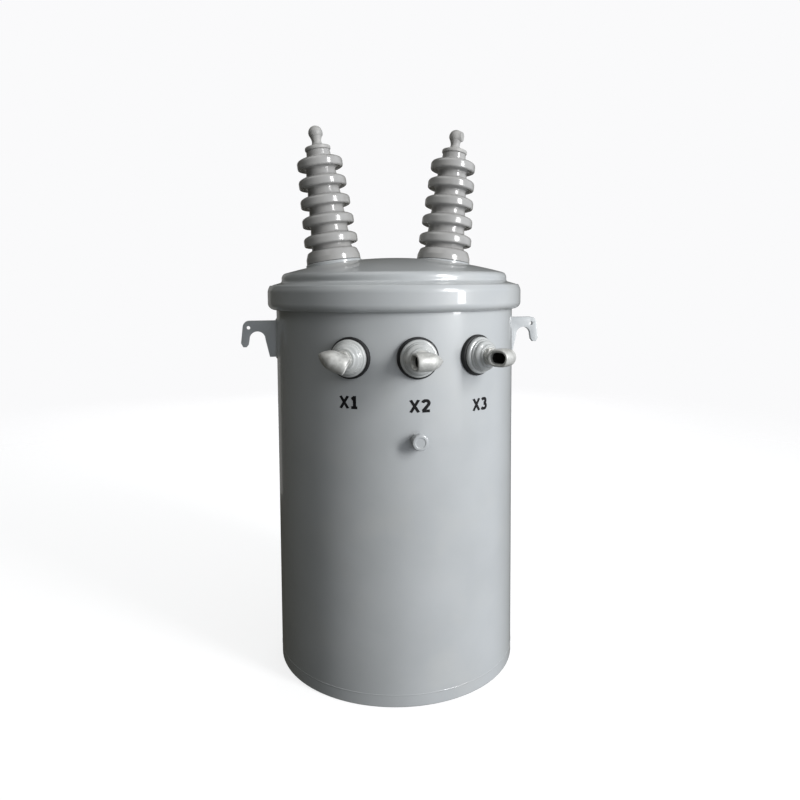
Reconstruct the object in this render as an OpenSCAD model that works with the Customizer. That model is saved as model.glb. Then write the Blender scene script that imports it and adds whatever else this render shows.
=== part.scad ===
// Single-phase pole mounted transformer: a round tank with a clamped, domed cover.
// The origin is the centre of the tank's flat bottom. +Z is up, and the middle
// low-voltage bushing faces -Y. The pole is on the +Y side. Millimetres.

/* [Tank] */
// Outer diameter of the tank
tank_d = 400; // [340:5:480]
// Height of the tank's top flange above the bottom
tank_h = 608; // [510:2:730]
// Thickness of the rolled shell
shell_t = 3.5; // [2.5:0.5:5]
// Thickness of the bottom pan
pan_t = 5; // [3:0.5:8]
// Height of the bottom pan's upturned edge
pan_edge_h = 19; // [14:1:30]
// Width of the top flange outside the shell
flange_w = 8; // [5:0.5:10]
// Thickness of the top flange
flange_t = 4; // [3:0.5:6]

/* [Cover] */
// Thickness of the pressed cover
cover_t = 3; // [2:0.5:4]
// Rise of the cover's shoulder above the tank's flange
shoulder_rise = 24; // [20:1:32]
// Rise of the sloping rim between the shoulder and the step
slope_rise = 4.5; // [3:0.5:8]
// Width of that sloping rim
slope_w = 15.5; // [12:0.5:22]
// Rise of the step to the edge of the dome
step_rise = 15; // [11:0.5:20]
// Rise of the dome from its edge to its crown
dome_rise = 26; // [20:1:40]
// Radius that rounds the step into the dome
step_round = 7; // [4:0.5:9]

/* [Cover band] */
// How far the band stands out from the shell
band_out = 14; // [12:0.5:20]
// How far the band reaches below the tank's flange
band_drop = 16; // [12:1:22]
// Thickness of the band's sheet
band_t = 3; // [2:0.5:4]
// Corner radius at the band's top
band_top_round = 10; // [6:0.5:11]
// Corner radius at the band's lower edge
band_low_round = 11; // [6:0.5:12]
// Compass angle of the band's bolt, from +X towards +Y
bolt_angle = 140; // [100:5:160]
// Gap between the band's two ends
band_gap = 14; // [8:1:20]
// Radius of the band bolt's shank
band_bolt_r = 6; // [4:0.5:8]

/* [High-voltage bushings] */
// Distance of each bushing from the middle plane
hv_x = 98; // [85:1:110]
// Distance of the bushings behind the tank's axis
hv_y = 49; // [30:1:60]
// Outward lean of the bushings
hv_lean = 8; // [0:0.5:12]
// Radius of the shank that goes through the cover
hv_shank_r = 30; // [22:1:32]
// Radius of the porcelain's foot
hv_foot_r = 47.5; // [42:0.5:52]
// Height of the porcelain's foot
hv_foot_h = 20; // [15:0.5:26]
// Radius of the lowest shed
hv_shed_low_r = 47; // [42:0.5:52]
// Radius of the highest shed
hv_shed_top_r = 39.8; // [35:0.5:46]
// Radius of the neck below the lowest shed
hv_neck_low_r = 34; // [29:0.5:36]
// Radius of the neck below the highest shed
hv_neck_top_r = 25.5; // [22:0.5:29]
// Number of sheds
hv_sheds = 5; // [3:1:6]
// Distance from one shed to the next
hv_pitch = 33.4; // [30:0.2:40]
// Thickness of a shed
hv_shed_t = 18; // [15:0.5:22]
// Radius of the collar above the highest shed
hv_collar_r = 20.5; // [18:0.5:24]
// Height of that collar
hv_collar_h = 10.5; // [8:0.5:16]

/* [High-voltage terminals] */
// Radius of the cap on the collar
cap_r = 22.4; // [20:0.2:26]
// Height of the cap
cap_h = 14; // [10:0.5:18]
// Radius of the stud in the porcelain
hv_stud_r = 6; // [4:0.5:8]
// Radius of the neck under the knob
knob_neck_r = 8.8; // [6:0.2:10]
// Radius of the knob
knob_r = 13; // [10:0.5:16]
// Height of the knob's centre above the cap
knob_rise = 20.5; // [16:0.5:26]

/* [Low-voltage bushings] */
// Distance of the low-voltage bushings below the tank's flange
lv_drop = 82; // [65:1:120]
// Angle between neighbouring low-voltage bushings
lv_step = 28.6; // [24:0.2:34]
// Radius of the black gasket
lv_gasket_r = 30.8; // [28:0.2:34]
// Thickness of the gasket on the bushing's axis
lv_gasket_t = 6; // [4:0.5:9]
// Radius of the porcelain's flange
lv_flange_r = 27; // [24:0.5:30]
// Thickness of the porcelain's flange
lv_flange_t = 7; // [5:0.5:10]
// Radius of the porcelain's body
lv_body_r = 22.5; // [19:0.5:24]
// Length of the porcelain's body in front of the flange
lv_body_l = 14.5; // [11:0.5:22]
// Radius of the shank through the tank's wall
lv_shank_r = 17; // [13:0.5:19]
// Radius of the terminal's stud
lv_stud_r = 7; // [5:0.5:9]
// Width across the flats of the stud's nut
lv_nut_af = 24; // [20:0.5:28]
// Thickness of the stud's nut
lv_nut_t = 7; // [5:0.5:10]

/* [Low-voltage eyes] */
// Height of the eye's slot for the cable
eye_slot_h = 14.4; // [10:0.2:18]
// Length of the eye's slot along the stud
eye_slot_l = 23; // [18:0.5:28]
// Metal around the slot
eye_wall = 6; // [4:0.5:8]
// Width of the eye on the open side of the stud
eye_open_w = 17; // [12:0.5:22]
// Width of the eye on the closed side of the stud
eye_closed_w = 5; // [3:0.5:8]
// Length of the pointed beak on the closed side
beak_l = 19; // [12:0.5:24]
// Radius of the beak's tip
beak_r = 2.5; // [1:0.5:4]
// How far the open side is turned in or out
eye_turn = 14; // [0:1:25]

/* [Relief valve] */
// Distance of the pressure relief valve below the tank's flange
valve_drop = 203; // [160:1:280]
// Radius of the valve's cap
valve_r = 12.3; // [10:0.1:16]
// Length of the valve's cap
valve_l = 12; // [8:0.5:18]
// Radius of the boss under the valve
valve_boss_r = 9.5; // [7:0.5:12]
// Length of the boss in front of the tank
valve_boss_l = 7; // [5:0.5:12]

/* [Lifting lugs] */
// Thickness of a lug's plate
lug_t = 8; // [6:1:12]
// Distance of a lug's top edge below the tank's flange
lug_drop = 34; // [30:1:60]
// How far a lug stands out from the tank
lug_out = 59; // [50:1:70]
// Height of a lug where it is welded to the tank
lug_root_h = 61; // [56:1:76]
// Height of the hook from its top edge to its tip
hook_h = 44; // [42:1:56]
// Thickness of the bar over the hook's mouth
hook_bar = 18; // [14:0.5:20]
// Radius of the hook's mouth
hook_r = 13; // [10:0.5:15]
// Width of the hook's lip outside its mouth
hook_lip = 14; // [10:0.5:18]
// Radius of the small hole at the hook's corner
lug_hole_r = 3; // [2:0.5:4]

/* [Hanger brackets] */
// Distance between the upper and lower pole bolts
hanger_spacing = 285.75; // [280:0.25:300]
// Height of the lower pole bolt
hanger_low_z = 160; // [120:1:180]
// Distance of the brackets' faces behind the tank
hanger_out = 38; // [30:1:60]
// Width of a bracket
hanger_w = 92; // [76:1:100]
// Height of a bracket
hanger_h = 76; // [64:1:90]
// Thickness of a bracket's plate
hanger_t = 6; // [4:0.5:8]
// Outer bend radius of a bracket
hanger_bend = 12; // [10:1:16]
// Width of a bracket's bolt slot
slot_w = 17.5; // [14:0.5:20]
// Length of a bracket's bolt slot
slot_l = 32; // [26:1:40]

/* [Ground boss] */
// Height of the ground boss
ground_z = 62; // [40:1:90]
// Compass angle of the ground boss, from +X towards +Y
ground_angle = 52; // [35:1:60]
// Radius of the ground boss
ground_r = 14; // [11:0.5:18]
// Length of the ground boss in front of the tank
ground_l = 12; // [8:0.5:18]
// Radius of the threaded hole in the ground boss
ground_hole_r = 5.1; // [4:0.1:7]
// Depth of the threaded hole in the ground boss
ground_hole_l = 10; // [6:0.5:14]

/* [Rating plate] */
// Width of the blank rating plate
plate_w = 84; // [60:1:100]
// Height of the blank rating plate
plate_h = 56; // [40:1:80]
// Thickness of the blank rating plate
plate_t = 1.5; // [1:0.5:3]
// Compass angle of the rating plate, from +X towards +Y
plate_angle = 128; // [120:1:140]
// Height of the rating plate's centre
plate_z = 290; // [220:1:340]
// Size of the plate holder's standing edge
holder_w = 10; // [8:1:16]

/* [Hidden] */
$fn = 96;
fine_fn = 720; // sides of the largest round shapes
nudge = 0.5; // how far a cutting shape runs past the face that it cuts
overlap = 2; // how far one part of a section runs into the next
clearance = 0.3; // between a round piece and the hole that it sits in
hole_gap = 1; // around a bushing's shank where it goes through sheet
through = 20; // half the length of a cutter through the tank's wall
skirt = 8; // how far a piece on the wall is drawn inwards before it is cut to the wall's curve
tank_r = tank_d / 2;
inner_r = tank_r - shell_t;

// Cover, from the outside inwards
cover_over = 3.5; // how far the cover's side stands out from the tank's
step_in = 2; // from the top of the sloping rim to the step
shoulder_r = tank_r + cover_over;
shoulder_z = tank_h + shoulder_rise;
slope_top_r = shoulder_r - slope_w;
slope_top_z = shoulder_z + slope_rise;
step_r = slope_top_r - step_in;
crown_z = slope_top_z + step_rise + dome_rise;
dome_edge_r = step_r - step_round / 2;
dome_r = (dome_edge_r * dome_edge_r + dome_rise * dome_rise) / (2 * dome_rise);
dome_z = crown_z - dome_r; // height of the dome's centre of curvature

// Cover band
low_lip_gap = 1; // between the band's lower lip and the shell
band_over = 1; // how far the band stands above the cover's shoulder
band_r = tank_r + band_out;
band_low_z = tank_h - band_drop;
band_low_r = tank_r + low_lip_gap;
band_lip_r = shoulder_r + clearance;
ear_t = 4;
ear_w = 26;
ear_h = 22;
ear_bolt_x = 15; // from the band's face to the bolt's axis
band_mid_z = (band_low_z + shoulder_z) / 2;
ear_near = band_gap / 2 + 1; // from the gap's middle to an ear's inner face

// High-voltage bushings, upwards along each bushing's axis from the dome
hv_seat_margin = 1.5; // from the porcelain's foot to the seat's edge
hv_seat_h = 4;
hv_gasket_t = 1.5;
hv_first_gap = 9.5; // from the foot to the lowest shed
hv_slope_h = 3; // height of the sloping ring above each shed
hv_stud_l = 40; // length of the stud inside the porcelain
hv_stud_room = 2; // below the stud's end
hv_shank_l = 24; // length of the shank inside the tank
foot_low_round = 1;
shed_low_round = 4;
shed_top_round = 9;
hv_ring_r = sqrt(hv_x * hv_x + hv_y * hv_y);
hv_seat_z = dome_z + sqrt(dome_r * dome_r - hv_ring_r * hv_ring_r);
hv_seat_r = hv_foot_r + hv_seat_margin;
hv_foot_z = hv_seat_h + hv_gasket_t;
hv_first_shed_z = hv_foot_z + hv_foot_h + hv_first_gap;
hv_collar_z = hv_first_shed_z + (hv_sheds - 1) * hv_pitch + hv_shed_t;
hv_top_z = hv_collar_z + hv_collar_h;
cap_cone_h = 4; // height of the cone on top of the cap
cap_flat_w = 2; // width of the cap's flat top around the knob's neck
cap_low_round = 1.5;
knob_face_r = knob_r - 2.5; // radius of the knob's flat face
knob_face_out = knob_r - 0.5; // from the knob's centre to its flat face

// Low-voltage bushings, outwards along each bushing's axis from the tank's axis
lv_z = tank_h - lv_drop;
lv_flange_y = tank_r + lv_gasket_t;
lv_body_y = lv_flange_y + lv_flange_t;
lv_front_y = lv_body_y + lv_body_l;
lv_eye_y = lv_front_y + lv_nut_t;
lv_back_y = inner_r - 12; // the shank's inner end
lv_stud_y = inner_r - 20; // the stud's inner end
lv_flange_low_round = 1;
lv_flange_round = 3;
lv_body_round = 4;
nut_gap = 0.1; // between the nut and its stud
lv_washer_t = 1.8;
lv_washer_r = lv_nut_af * 0.56;
eye_stand = 3; // from the nut to the eye
eye_r = eye_slot_h / 2 + eye_wall;
eye_half = (eye_slot_l - eye_slot_h) / 2; // from the slot's middle to its round end
eye_centre_y = lv_eye_y + eye_stand + eye_half + eye_r;
eye_slot_in = 1; // how far the slot runs past the eye's middle on the closed side
beak_inset = 0.5; // from the eye's edge to the beak's
thin = 0.02; // a layer that only gives the beak its outline

// Relief valve
valve_z = tank_h - valve_drop;
valve_spigot_r = valve_boss_r - 2;
valve_spigot_in = 4; // how far the spigot reaches into the tank
valve_low_round = 1;
valve_round = 2.5;

// Lifting lugs: distances from the tank's axis and heights
lug_top_z = tank_h - lug_drop;
lug_low_z = lug_top_z - lug_root_h;
lug_tip_r = tank_r + lug_out;
lug_edge_r = lug_tip_r - 3; // the outer edge leans out towards the tip
lug_corner = 11;
tip_z = lug_top_z - hook_h;
tip_w = 9; // width of the hook's tip with its outer chamfer
tip_chamfer_w = 3.5;
tip_chamfer_h = 7;
tip_slope_w = 1.5; // the lip's inner edge widens towards the tip
tip_slope_h = 4;
gusset_w = 12; // width of the lug at its lower end
mouth_z = lug_top_z - hook_bar - hook_r;
mouth_r = lug_tip_r - hook_lip - hook_r;
lug_hole_x = lug_tip_r - 12.5;
lug_hole_z = lug_top_z - 11.8;

// Hanger brackets and rating plate
hanger_y = tank_r + hanger_out;
hanger_high_z = hanger_low_z + hanger_spacing;
plate_front = tank_r + 2; // the back of the rating plate
holder_reach = 12; // from the tank's widest point to the holder's inner edge
holder_over = 4; // how far the holder stands above and below the plate

paint = [0.68, 0.70, 0.70];
glaze = [0.72, 0.73, 0.74];
rubber = [0.08, 0.08, 0.08];
tinned = [0.80, 0.80, 0.78];

// ---- Placing ----

// Puts a piece that is drawn along +Z on the tank's wall, pointing outwards
module on_wall(angle, z) {
    rotate([0, 0, angle]) translate([0, 0, z]) rotate([0, 90, 0]) children();
}

// A low-voltage place: 1 is on the -X side, 2 faces -Y, 3 is on the +X side.
// The piece is drawn along +Z, with its own +Y towards +X seen from the front.
module at_lv(number) {
    on_wall(-90 + (number - 2) * lv_step, lv_z) children();
}

// A high-voltage place: side is -1 at -X and +1 at +X, and the piece is drawn along +Z
module at_hv(side) {
    angle = atan2(hv_y, side * hv_x);
    translate([side * hv_x, hv_y, hv_seat_z])
        rotate([0, 0, angle]) rotate([0, hv_lean, 0]) rotate([0, 0, -angle]) children();
}

// The tank's round outside, as a cutter for what is welded or seated on it
module tank_round(z, h, r = tank_r) {
    translate([0, 0, z]) cylinder(r = r, h = h, $fn = fine_fn);
}

// A rectangle from [x0, y0] to [x1, y1] with its two right-hand corners rounded
module soft_box(x0, y0, x1, y1, low, top) {
    translate([x0, y0 + low]) square([x1 - x0, y1 - y0 - low - top]);
    translate([x0, y0]) square([x1 - x0 - low, low]);
    translate([x0, y1 - top]) square([x1 - x0 - top, top]);
    translate([x1 - low, y0 + low]) circle(low);
    translate([x1 - top, y1 - top]) circle(top);
}

// ---- Tank ----

module shell_hole(angle, z, r) {
    on_wall(angle, z) translate([0, 0, inner_r]) cylinder(r = r, h = 2 * through, center = true);
}

module tank_shell() {
    color(paint) difference() {
        rotate_extrude() {
            translate([inner_r, pan_edge_h]) square([shell_t, tank_h - pan_edge_h]);
            translate([inner_r, tank_h - flange_t]) square([shell_t + flange_w, flange_t]);
        }
        for (number = [1 : 3])
            shell_hole(-90 + (number - 2) * lv_step, lv_z, lv_shank_r + hole_gap);
        shell_hole(-90, valve_z, valve_spigot_r);
    }
}

module tank_bottom() {
    edge = 2;
    color(paint) rotate_extrude() difference() {
        union() {
            square([tank_r - edge, pan_edge_h]);
            translate([0, edge]) square([tank_r, pan_edge_h - edge]);
            translate([tank_r - edge, edge]) circle(edge);
        }
        translate([0, pan_t]) square([inner_r, pan_edge_h]);
    }
}

// Half of the cover's section, moved inwards by inset: dome, step, sloping rim and wall
module cover_section(inset) {
    round_r = step_round - inset;
    centre_r = step_r - step_round;
    centre_z = dome_z + sqrt(pow(dome_r - step_round, 2) - centre_r * centre_r);
    reach = 1.2; // past the arc, so that the sector holds all of the dome
    intersection() {
        translate([0, dome_z]) circle(r = dome_r - inset, $fn = fine_fn);
        polygon([[0, dome_z], [0, dome_z + dome_r * reach],
                 [centre_r * reach, dome_z + (centre_z - dome_z) * reach]]);
    }
    translate([centre_r, centre_z]) circle(round_r);
    translate([0, tank_h]) square([step_r - inset, centre_z - tank_h]);
    polygon([[0, tank_h], [shoulder_r - inset, tank_h],
             [shoulder_r - inset, shoulder_z - inset], [slope_top_r - inset, slope_top_z - inset],
             [0, slope_top_z - inset]]);
}

module cover() {
    color(paint) difference() {
        rotate_extrude() difference() {
            union() {
                intersection() {
                    cover_section(0);
                    translate([0, tank_h]) square([tank_r * 2, tank_r * 2]);
                }
                translate([inner_r, tank_h]) square([shell_t + flange_w, cover_t]);
            }
            intersection() {
                cover_section(cover_t);
                translate([0, tank_h - nudge]) square([tank_r * 2, tank_r * 2]);
            }
            translate([0, tank_h - nudge]) square([shoulder_r - cover_t, 2 * nudge]);
        }
        for (side = [-1, 1])
            at_hv(side) cylinder(r = hv_shank_r + hole_gap, h = 4 * through, center = true);
    }
}

module cover_band() {
    inner = band_r - band_t;
    top_z = shoulder_z + band_over;
    color(paint) difference() {
        rotate_extrude() intersection() {
            difference() {
                soft_box(0, band_low_z, band_r, top_z, band_low_round, band_top_round);
                soft_box(0, band_low_z + band_t, inner, top_z - band_t,
                         band_low_round - band_t, band_top_round - band_t);
            }
            union() {
                translate([band_low_r, band_low_z]) square([band_out, band_drop + nudge]);
                translate([band_lip_r, tank_h]) square([band_out, top_z - tank_h]);
            }
        }
        rotate([0, 0, bolt_angle]) translate([tank_r - nudge, -band_gap / 2, band_low_z - nudge])
            cube([band_out + 2 * nudge, band_gap, top_z - band_low_z + 2 * nudge]);
    }
}

module band_ears() {
    color(paint) difference() {
        rotate([0, 0, bolt_angle]) for (side = [-1, 1])
            translate([band_r, side > 0 ? ear_near : -ear_near - ear_t, band_mid_z]) difference() {
                translate([-band_t, 0, -ear_h / 2]) cube([ear_w + band_t, ear_t, ear_h]);
                translate([ear_bolt_x, -nudge, 0]) rotate([-90, 0, 0])
                    cylinder(r = band_bolt_r + clearance, h = ear_t + 2 * nudge);
            }
        tank_round(band_low_z, shoulder_z - band_low_z, band_r);
    }
}

module band_bolt() {
    reach = ear_near + ear_t; // from the gap's middle to an ear's outer face
    washer_t = 1.5;
    head_h = 8;
    tail = 17; // how far the thread stands out past the ear
    hex_r = band_bolt_r * 1.75;
    color(tinned) rotate([0, 0, bolt_angle]) translate([band_r + ear_bolt_x, 0, band_mid_z])
        rotate([-90, 0, 0]) {
            translate([0, 0, -reach - washer_t])
                cylinder(r = band_bolt_r, h = 2 * reach + washer_t + tail);
            translate([0, 0, -reach - washer_t]) cylinder(r = band_bolt_r * 2, h = washer_t);
            translate([0, 0, reach]) cylinder(r = band_bolt_r * 2, h = washer_t);
            translate([0, 0, -reach - washer_t - head_h]) cylinder(r = hex_r, h = head_h, $fn = 6);
            translate([0, 0, reach + washer_t]) cylinder(r = hex_r, h = head_h + 1, $fn = 6);
        }
}

// ---- High-voltage bushings ----

// The seat is a short ring whose underside follows the dome
module hv_seat(side) {
    below = 12; // deep enough to reach the dome all round
    color(paint) difference() {
        at_hv(side) translate([0, 0, -below]) difference() {
            cylinder(r = hv_seat_r, h = below + hv_seat_h);
            translate([0, 0, -nudge])
                cylinder(r = hv_shank_r + hole_gap, h = below + hv_seat_h + 2 * nudge);
        }
        translate([0, 0, dome_z]) sphere(r = dome_r, $fn = fine_fn);
    }
}

module hv_gasket(side) {
    color(rubber) at_hv(side) translate([0, 0, hv_seat_h]) difference() {
        cylinder(r = hv_foot_r - foot_low_round, h = hv_gasket_t);
        translate([0, 0, -nudge]) cylinder(r = hv_shank_r + hole_gap, h = hv_gasket_t + 2 * nudge);
    }
}

function shed_share(i) = i / (hv_sheds - 1);
function shed_r(i) = hv_shed_low_r + (hv_shed_top_r - hv_shed_low_r) * shed_share(i);
function neck_r(i) = hv_neck_low_r + (hv_neck_top_r - hv_neck_low_r) * shed_share(i);
function shed_z(i) = hv_first_shed_z + i * hv_pitch;

// The sloping ring on top of a shed or of the foot: from radius r at height z to the neck above
module hv_slope(r, z, neck) {
    polygon([[0, z - nudge], [r - shed_top_round, z - nudge],
             [neck, z + hv_slope_h], [0, z + hv_slope_h]]);
}

module hv_section() {
    foot_top_z = hv_foot_z + hv_foot_h;
    translate([0, -hv_shank_l]) square([hv_shank_r, hv_shank_l + hv_foot_z + overlap]);
    soft_box(0, hv_foot_z, hv_foot_r, foot_top_z, foot_low_round, shed_top_round);
    hv_slope(hv_foot_r, foot_top_z, neck_r(0));
    for (i = [0 : hv_sheds - 1]) {
        below = i == 0 ? foot_top_z : shed_z(i - 1) + hv_shed_t;
        top_z = shed_z(i) + hv_shed_t;
        translate([0, below - overlap]) square([neck_r(i), shed_z(i) - below + 2 * overlap]);
        soft_box(0, shed_z(i), shed_r(i), top_z, shed_low_round, shed_top_round);
        hv_slope(shed_r(i), top_z, i == hv_sheds - 1 ? hv_collar_r : neck_r(i + 1));
    }
    translate([0, hv_collar_z - overlap]) square([hv_collar_r, hv_collar_h + overlap]);
}

module hv_bushing(side) {
    color(glaze) at_hv(side) rotate_extrude() difference() {
        hv_section();
        translate([0, hv_top_z - hv_stud_l - hv_stud_room])
            square([hv_stud_r + clearance, hv_stud_l + hv_stud_room + nudge]);
    }
}

// Turned cap with a knob; the knob's short barrel ends in a flat face at face_angle
module hv_terminal(side, face_angle) {
    rim_r = cap_r - cap_cone_h;
    color(tinned) at_hv(side) translate([0, 0, hv_top_z]) {
        rotate_extrude() {
            translate([0, -hv_stud_l]) square([hv_stud_r, hv_stud_l + overlap]);
            soft_box(0, 0, cap_r, cap_h - cap_cone_h, cap_low_round, cap_cone_h);
            polygon([[0, cap_h - cap_cone_h - nudge], [rim_r, cap_h - cap_cone_h - nudge],
                     [knob_neck_r + cap_flat_w, cap_h], [0, cap_h]]);
            translate([0, cap_h - overlap]) square([knob_neck_r, knob_rise]);
        }
        translate([0, 0, cap_h + knob_rise]) {
            sphere(r = knob_r);
            rotate([0, 0, face_angle]) rotate([0, 90, 0]) cylinder(r = knob_face_r, h = knob_face_out);
        }
    }
}

// ---- Low-voltage bushings ----

// The gasket's back follows the tank's round wall
module lv_gasket(number) {
    color(rubber) difference() {
        at_lv(number) translate([0, 0, tank_r - skirt]) difference() {
            cylinder(r = lv_gasket_r, h = skirt + lv_gasket_t);
            translate([0, 0, -nudge])
                cylinder(r = lv_shank_r + clearance, h = skirt + lv_gasket_t + 2 * nudge);
        }
        tank_round(lv_z - 2 * lv_gasket_r, 4 * lv_gasket_r);
    }
}

module lv_bushing(number) {
    color(glaze) at_lv(number) rotate_extrude() difference() {
        union() {
            translate([0, lv_back_y]) square([lv_shank_r, lv_flange_y - lv_back_y + overlap]);
            soft_box(0, lv_flange_y, lv_flange_r, lv_body_y, lv_flange_low_round, lv_flange_round);
            translate([0, lv_body_y - overlap]) square([lv_body_r, lv_body_l - lv_body_round + overlap]);
            translate([0, lv_body_y]) square([lv_body_r - lv_body_round, lv_body_l]);
            translate([lv_body_r - lv_body_round, lv_front_y - lv_body_round]) circle(lv_body_round);
        }
        translate([0, lv_back_y - nudge])
            square([lv_stud_r + clearance, lv_front_y - lv_back_y + 2 * nudge]);
    }
}

module lv_nut(number) {
    color(tinned) at_lv(number) translate([0, 0, lv_front_y]) difference() {
        union() {
            cylinder(r = lv_washer_r, h = lv_washer_t);
            translate([0, 0, lv_washer_t])
                cylinder(d = lv_nut_af / cos(30), h = lv_nut_t - lv_washer_t, $fn = 6);
        }
        translate([0, 0, -nudge]) cylinder(r = lv_stud_r + nut_gap, h = lv_nut_t + 2 * nudge);
    }
}

// Round-ended outline of the eye, with its long side along the stud
module eye_outline(r) {
    for (end = [-1, 1])
        translate([end * eye_half, 0]) circle(r);
    translate([-eye_half, -r]) square([2 * eye_half, 2 * r]);
}

// The eye: a slot for the cable, open on one side, and a pointed beak on the other.
// roll turns the terminal about its stud, and turn swings the open side out.
module lv_terminal(number, roll, turn) {
    eye_low_y = eye_centre_y - eye_half - eye_r;
    color(tinned) at_lv(number) rotate([0, 0, roll]) {
        translate([0, 0, lv_stud_y]) cylinder(r = lv_stud_r, h = eye_low_y + 2 * overlap - lv_stud_y);
        translate([0, 0, eye_centre_y]) rotate([-turn, 0, 0]) rotate([0, 90, 0]) rotate([90, 0, 0]) {
            difference() {
                translate([0, 0, -eye_closed_w])
                    linear_extrude(eye_open_w + eye_closed_w) eye_outline(eye_r);
                translate([0, 0, -eye_slot_in])
                    linear_extrude(eye_open_w + 2 * eye_slot_in) eye_outline(eye_slot_h / 2);
            }
            hull() {
                translate([0, 0, -eye_closed_w - thin / 2]) linear_extrude(thin, $fn = 48)
                    eye_outline(eye_r - beak_inset);
                translate([0, 0, -eye_closed_w - beak_l]) sphere(r = beak_r, $fn = 32);
            }
        }
    }
}

// ---- Relief valve ----

module relief_boss() {
    spigot_l = tank_r - inner_r + valve_spigot_in;
    color(paint) on_wall(-90, valve_z) union() {
        translate([0, 0, inner_r - valve_spigot_in])
            cylinder(r = valve_spigot_r - clearance, h = spigot_l + overlap);
        translate([0, 0, tank_r]) cylinder(r = valve_boss_r, h = valve_boss_l);
    }
}

module relief_valve() {
    color(paint) on_wall(-90, valve_z) translate([0, 0, tank_r + valve_boss_l])
        rotate_extrude() soft_box(0, 0, valve_r, valve_l, valve_low_round, valve_round);
}

// ---- Lifting lugs ----

// Side view of a lug: x is the distance from the tank's axis and y is the height
module lug_outline() {
    root_x = tank_r - 3; // inside the wall, before the lug is cut to its curve
    corner_x = lug_edge_r - lug_corner;
    corner_z = lug_top_z - lug_corner;
    difference() {
        polygon([[root_x, lug_low_z], [root_x, lug_top_z], [lug_edge_r, lug_top_z], [lug_edge_r, corner_z],
                 [lug_tip_r, tip_z + tip_chamfer_h], [lug_tip_r - tip_chamfer_w, tip_z],
                 [lug_tip_r - tip_w, tip_z], [mouth_r + hook_r + tip_slope_w, tip_z + tip_slope_h],
                 [mouth_r + hook_r, mouth_z], [mouth_r - hook_r, mouth_z], [tank_r + gusset_w, lug_low_z]]);
        difference() {
            translate([corner_x, corner_z]) square(lug_corner + 1);
            translate([corner_x, corner_z]) circle(lug_corner);
        }
        translate([mouth_r, mouth_z]) circle(hook_r);
        translate([lug_hole_x, lug_hole_z]) circle(lug_hole_r);
    }
}

module lifting_lug(side) {
    color(paint) difference() {
        mirror([side < 0 ? 1 : 0, 0, 0]) translate([0, lug_t / 2, 0]) rotate([90, 0, 0])
            linear_extrude(lug_t) lug_outline();
        tank_round(lug_low_z - nudge, lug_root_h + 2 * nudge);
    }
}

// ---- Hanger brackets ----

module hanger_bracket(z) {
    half = hanger_w / 2;
    flat = hanger_w - 2 * hanger_bend; // width of the face between its bends
    depth = hanger_y - hanger_bend; // to the start of the bends
    slot_half = (slot_l - slot_w) / 2;
    color(paint) translate([0, 0, z]) difference() {
        translate([0, 0, -hanger_h / 2]) linear_extrude(hanger_h) difference() {
            union() {
                translate([-half, 0]) square([hanger_w, depth]);
                translate([-flat / 2, 0]) square([flat, hanger_y]);
                for (side = [-1, 1])
                    translate([side * flat / 2, depth]) circle(hanger_bend);
            }
            translate([-half + hanger_t, -nudge]) square([hanger_w - 2 * hanger_t, depth + nudge]);
            translate([-flat / 2, -nudge]) square([flat, hanger_y - hanger_t + nudge]);
            for (side = [-1, 1])
                translate([side * flat / 2, depth]) circle(hanger_bend - hanger_t);
        }
        tank_round(-hanger_h, 2 * hanger_h);
        translate([0, hanger_y - hanger_t - nudge, 0]) rotate([-90, 0, 0]) {
            for (end = [-1, 1])
                translate([0, end * slot_half, 0]) cylinder(d = slot_w, h = hanger_t + 2 * nudge);
            translate([-slot_w / 2, -slot_half, 0]) cube([slot_w, 2 * slot_half, hanger_t + 2 * nudge]);
        }
    }
}

// ---- Ground boss and rating plate ----

module ground_boss() {
    color(tinned) difference() {
        on_wall(ground_angle, ground_z) difference() {
            translate([0, 0, tank_r - skirt]) cylinder(r = ground_r, h = ground_l + skirt);
            translate([0, 0, tank_r + ground_l - ground_hole_l])
                cylinder(r = ground_hole_r, h = ground_hole_l + nudge);
        }
        tank_round(ground_z - 2 * ground_r, 4 * ground_r);
    }
}

// Two standing strips that carry the plate clear of the round wall
module plate_holder() {
    strip_h = plate_h + 2 * holder_over;
    color(paint) difference() {
        rotate([0, 0, plate_angle]) for (side = [-1, 1])
            translate([tank_r - holder_reach, side * (plate_w - holder_w) / 2 - holder_w / 2,
                       plate_z - strip_h / 2])
                cube([plate_front - tank_r + holder_reach, holder_w, strip_h]);
        tank_round(plate_z - strip_h, 2 * strip_h);
    }
}

module rating_plate() {
    color(tinned) rotate([0, 0, plate_angle])
        translate([plate_front, -plate_w / 2, plate_z - plate_h / 2]) cube([plate_t, plate_w, plate_h]);
}

tank_shell();
tank_bottom();
cover();
cover_band();
band_ears();
band_bolt();
hv_seat(-1);  // hv_seat_left
hv_seat(1);  // hv_seat_right
hv_gasket(-1);  // hv_gasket_left
hv_gasket(1);  // hv_gasket_right
hv_bushing(-1);  // hv_bushing_left
hv_bushing(1);  // hv_bushing_right
hv_terminal(-1, 60);  // hv_terminal_left
hv_terminal(1, -20);  // hv_terminal_right
lv_gasket(1);  // lv_gasket_1
lv_gasket(2);  // lv_gasket_2
lv_gasket(3);  // lv_gasket_3
lv_bushing(1);  // lv_bushing_1
lv_bushing(2);  // lv_bushing_2
lv_bushing(3);  // lv_bushing_3
lv_nut(1);  // lv_nut_1
lv_nut(2);  // lv_nut_2
lv_nut(3);  // lv_nut_3
lv_terminal(1, 155, -eye_turn);  // lv_terminal_1
lv_terminal(2, 0, eye_turn);  // lv_terminal_2
lv_terminal(3, 0, eye_turn);  // lv_terminal_3
relief_boss();
relief_valve();
lifting_lug(-1);  // lifting_lug_left
lifting_lug(1);  // lifting_lug_right
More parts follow.
